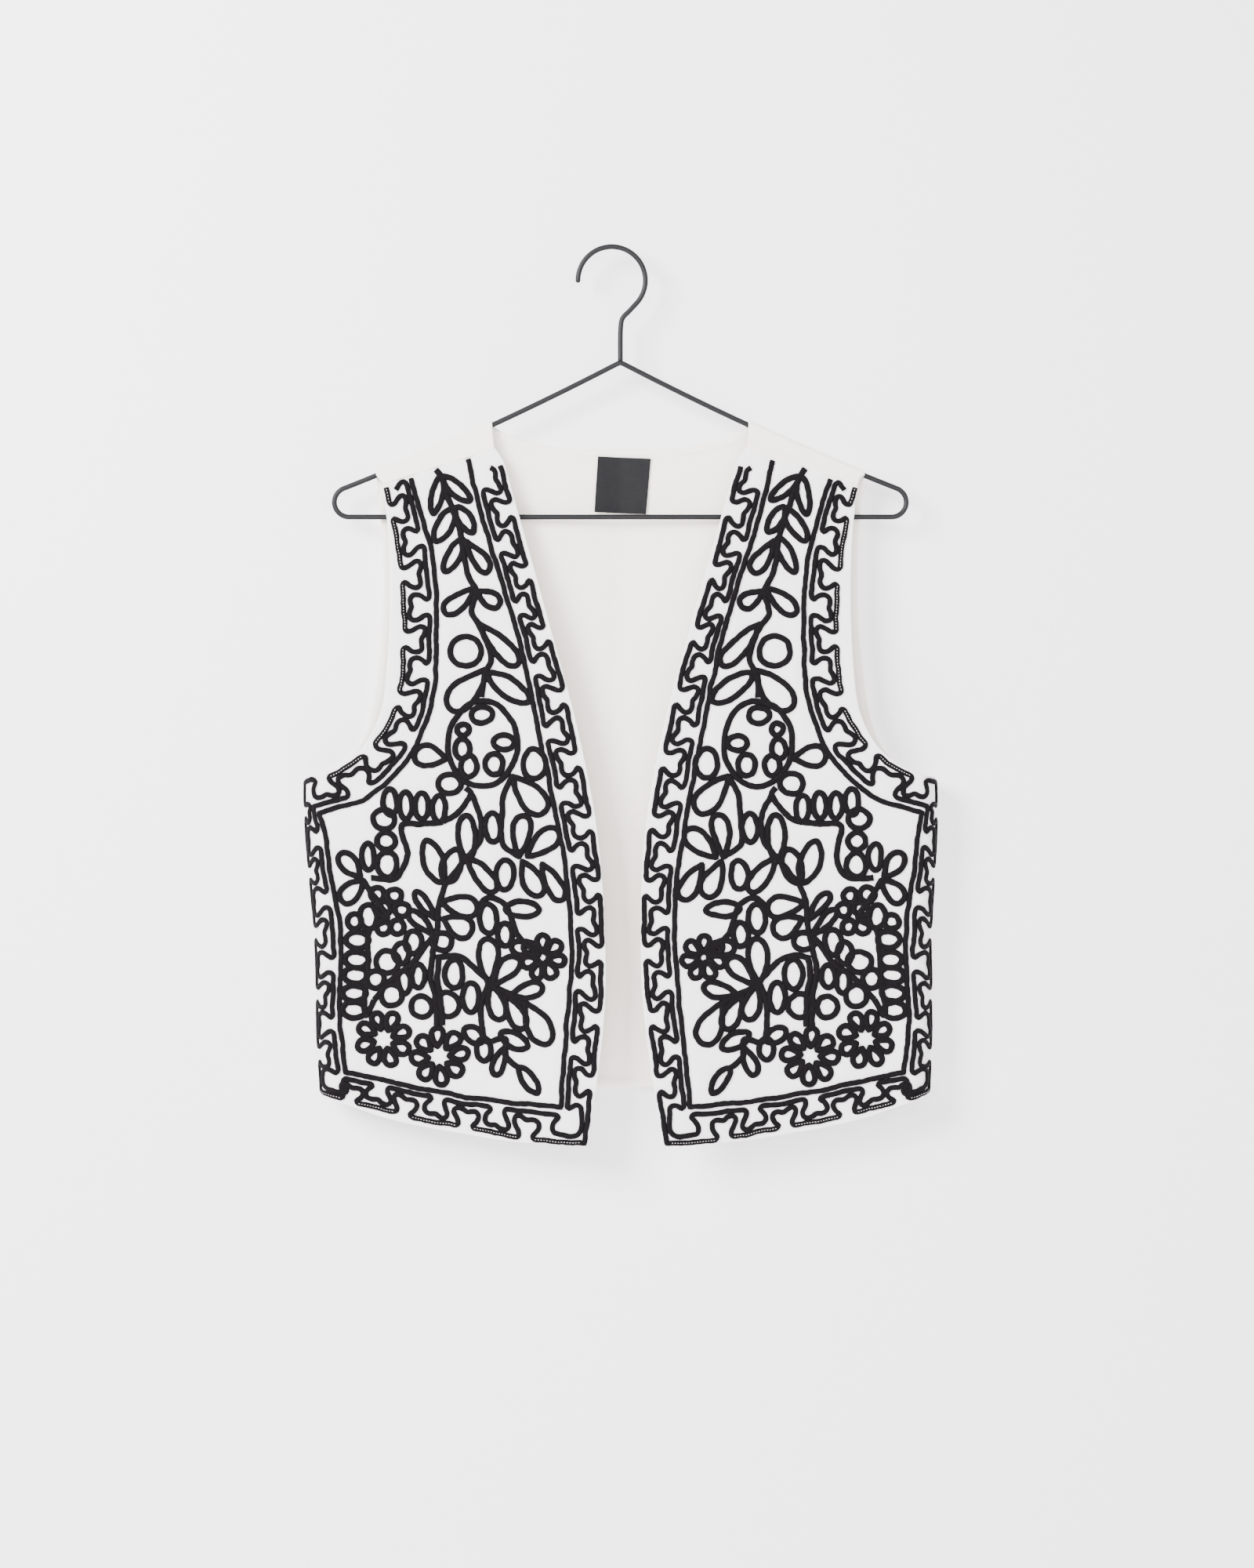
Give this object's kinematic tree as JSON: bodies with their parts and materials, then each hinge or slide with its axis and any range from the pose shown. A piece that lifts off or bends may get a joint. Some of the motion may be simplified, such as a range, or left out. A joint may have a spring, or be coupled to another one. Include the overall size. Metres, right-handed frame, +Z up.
{
  "type": "embroidered folk vest on a wire hanger",
  "caption": "Open-front sleeveless folk vest in cream cotton with black cord embroidery of leaves, flowers and a key border, hung on a black wire hanger.",
  "frame": {"origin": "inner crown of the hanger's hook, where a rail or wall hook holds it", "axes": "+X to the viewer's right, +Y behind the vest, +Z up"},
  "size_m": [0.4843, 0.0406, 0.6886],
  "materials": {
    "embroidered_cotton": "white cotton twill, matt",
    "plain_cotton": "cream cotton plain weave, matt",
    "embroidery_cord": "black twisted cotton cord, matt",
    "woven_label": "black woven satin ribbon",
    "coated_wire": "satin black coating"
  },
  "bodies": {
    "root": {"back": "plain_cotton", "front_left": "embroidered_cotton", "front_right": "embroidered_cotton", "label": "woven_label", "hanger_hook": "coated_wire", "hanger_frame": "coated_wire"}
  },
  "joints": []
}
